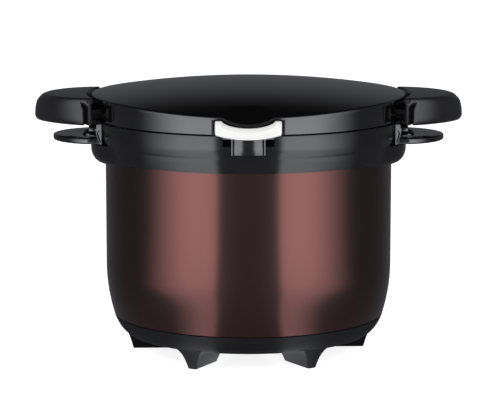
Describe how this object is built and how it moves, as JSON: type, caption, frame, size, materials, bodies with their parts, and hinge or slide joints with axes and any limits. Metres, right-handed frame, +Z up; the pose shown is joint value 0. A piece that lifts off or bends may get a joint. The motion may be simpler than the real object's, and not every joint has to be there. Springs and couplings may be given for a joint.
{
  "type": "thermal cooker",
  "caption": "Vacuum-walled steel cooker with ribbed feet, hinged domed lid and front latch, holding a handled pot with a glass lid.",
  "frame": {"origin": "on the floor, under the vessel's axis", "axes": "+Z up, the latch side faces -Y, the hinge is at +Y, the handles lie along X"},
  "size_m": [0.36, 0.2704, 0.23],
  "materials": {
    "brown_clear_steel": "clear brown coat over brushed steel, glossy",
    "black_plastic": "moulded black, semi-gloss",
    "gloss_black_lid": "moulded black, high gloss",
    "black_phenolic": "moulded black, glossy",
    "satin_black_plastic": "moulded black, satin",
    "grey_plastic": "moulded grey, satin",
    "white_plastic": "moulded white, satin",
    "foam": "cream rigid foam",
    "satin_steel": "brushed stainless",
    "steel_parts": "plain stainless",
    "clear_glass": "clear tempered glass"
  },
  "bodies": {
    "vessel": {"base_cover": "satin_black_plastic", "base_mount_ring": "steel_parts", "base_screw_1": "steel_parts", "base_screw_2": "steel_parts", "base_screw_3": "steel_parts", "vessel_outer_shell": "brown_clear_steel", "vessel_inner_shell": "satin_steel", "evacuation_cap": "steel_parts", "collar": "black_plastic", "latch_striker": "steel_parts", "carry_handle_right": "black_plastic", "carry_handle_left": "black_plastic", "carry_screw_right_1": "steel_parts", "carry_screw_right_2": "steel_parts", "carry_screw_left_1": "steel_parts", "carry_screw_left_2": "steel_parts", "hinge_pin": "steel_parts"},
    "lid": {"lid_cover": "gloss_black_lid", "lid_skirt": "black_plastic", "lid_insulation": "foam", "lid_plate": "grey_plastic", "lid_screw_1": "steel_parts", "lid_screw_2": "steel_parts", "lid_screw_3": "steel_parts", "lid_screw_4": "steel_parts", "latch_pin": "steel_parts", "latch_spring": "steel_parts"},
    "latch": {"latch_lever": "white_plastic", "latch_hook": "black_plastic"},
    "pot": {"pot_body": "satin_steel", "pot_base_disc": "satin_steel", "pot_bracket_right": "satin_steel", "pot_bracket_left": "satin_steel", "pot_handle_right": "black_phenolic", "pot_handle_left": "black_phenolic", "handle_screw_right_1": "steel_parts", "handle_screw_right_2": "steel_parts", "handle_screw_left_1": "steel_parts", "handle_screw_left_2": "steel_parts"},
    "pot_lid": {"glass_lid": "clear_glass", "glass_lid_band": "steel_parts", "knob": "black_phenolic", "knob_washer": "steel_parts", "knob_screw": "steel_parts", "steam_vent": "steel_parts"}
  },
  "joints": [
    {"name": "lid_hinge", "type": "hinge", "parent": "vessel", "child": "lid", "pos_m": [0, 0.131, 0.203], "axis": [-1, 0, 0], "range_deg": [0, 95]},
    {"name": "latch_pivot", "type": "hinge", "parent": "lid", "child": "latch", "pos_m": [0, -0.1285, 0.2009], "axis": [-1, 0, 0], "range_deg": [0, 20], "stiffness_Nm_per_rad": 0.05},
    {"name": "pot_lift", "type": "slide", "parent": "vessel", "child": "pot", "axis": [0, 0, 1], "range_m": [0, 0.0015]},
    {"name": "glass_lid_lift", "type": "slide", "parent": "pot", "child": "pot_lid", "axis": [0, 0, 1], "range_m": [0, 0.0015]}
  ]
}
